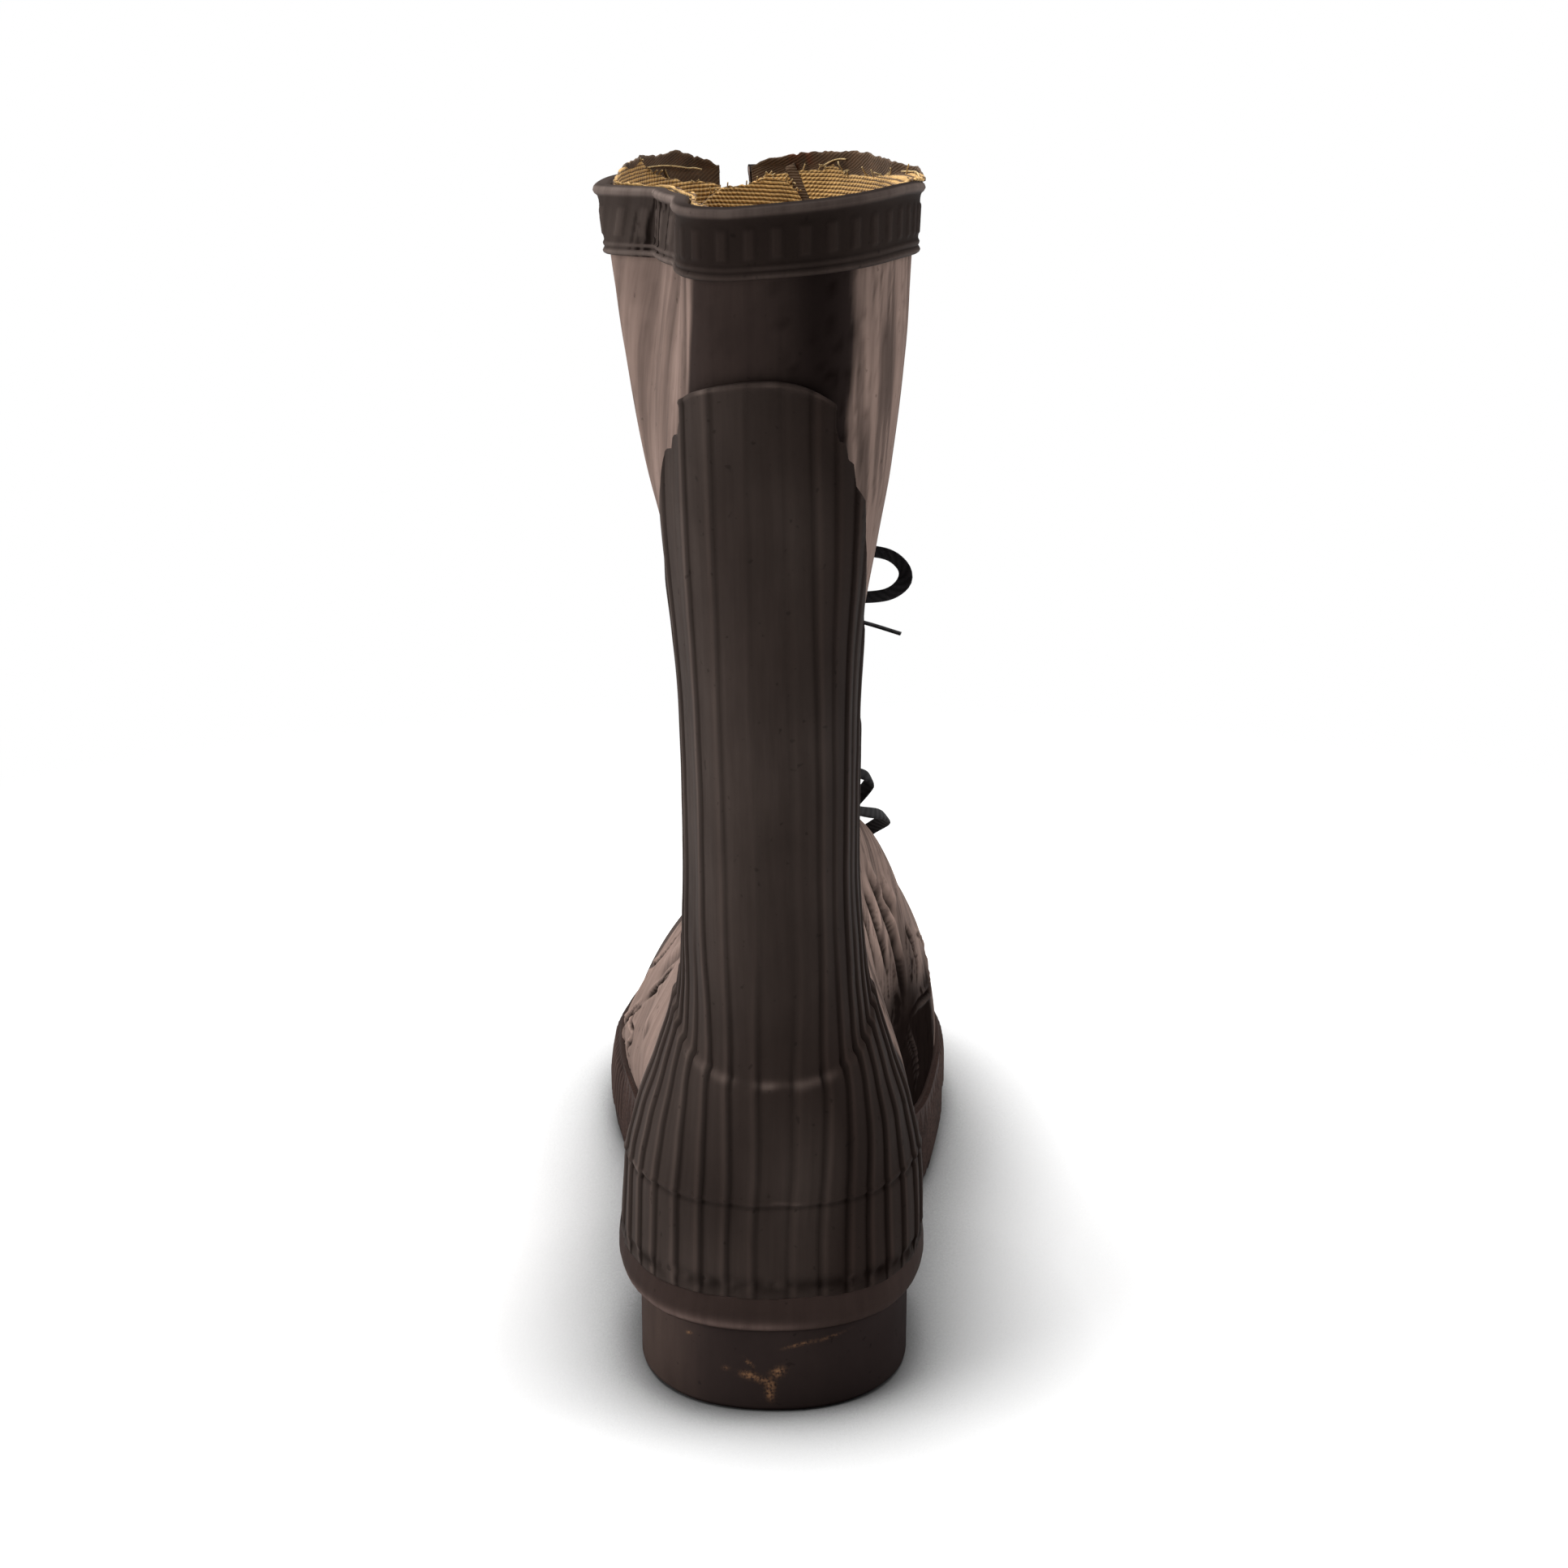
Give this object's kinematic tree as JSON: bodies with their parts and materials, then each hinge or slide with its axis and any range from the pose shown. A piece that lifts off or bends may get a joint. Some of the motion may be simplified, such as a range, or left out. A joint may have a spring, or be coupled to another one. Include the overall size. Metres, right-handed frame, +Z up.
{
  "type": "rubber boot",
  "caption": "Tall lace-up rubber boot for the left foot, with a ribbed heel counter and back stay, a banded collar and a block heel.",
  "frame": {"origin": "on the floor, under the middle of the boot's box", "axes": "+Y towards the toe, +X towards the inner side of the foot, +Z up"},
  "size_m": [0.118, 0.3094, 0.3363],
  "materials": {
    "boot_rubber": "satin moulded rubber with a dusty bloom",
    "lining": "worn tan canvas",
    "dark_rubber": "satin moulded rubber",
    "fastener_metal": "browned, worn",
    "lace": "black woven cotton"
  },
  "bodies": {
    "root": {"upper": "boot_rubber", "outsole": "boot_rubber", "heel": "boot_rubber", "insole": "lining", "tongue": "lining", "ribbed_counter": "dark_rubber", "collar_band": "dark_rubber", "eyelet_lateral_1": "fastener_metal", "eyelet_medial_1": "fastener_metal", "eyelet_lateral_2": "fastener_metal", "eyelet_medial_2": "fastener_metal", "eyelet_lateral_3": "fastener_metal", "eyelet_medial_3": "fastener_metal", "eyelet_lateral_4": "fastener_metal", "eyelet_medial_4": "fastener_metal", "eyelet_lateral_5": "fastener_metal", "eyelet_medial_5": "fastener_metal", "hook_lateral_1": "fastener_metal", "hook_medial_1": "fastener_metal", "hook_lateral_2": "fastener_metal", "hook_medial_2": "fastener_metal", "hook_lateral_3": "fastener_metal", "hook_medial_3": "fastener_metal", "lace_crossings": "lace", "lace_knot": "lace", "lace_loop_medial": "lace", "lace_loop_lateral": "lace", "lace_end_medial": "lace", "lace_end_lateral": "lace"}
  },
  "joints": []
}
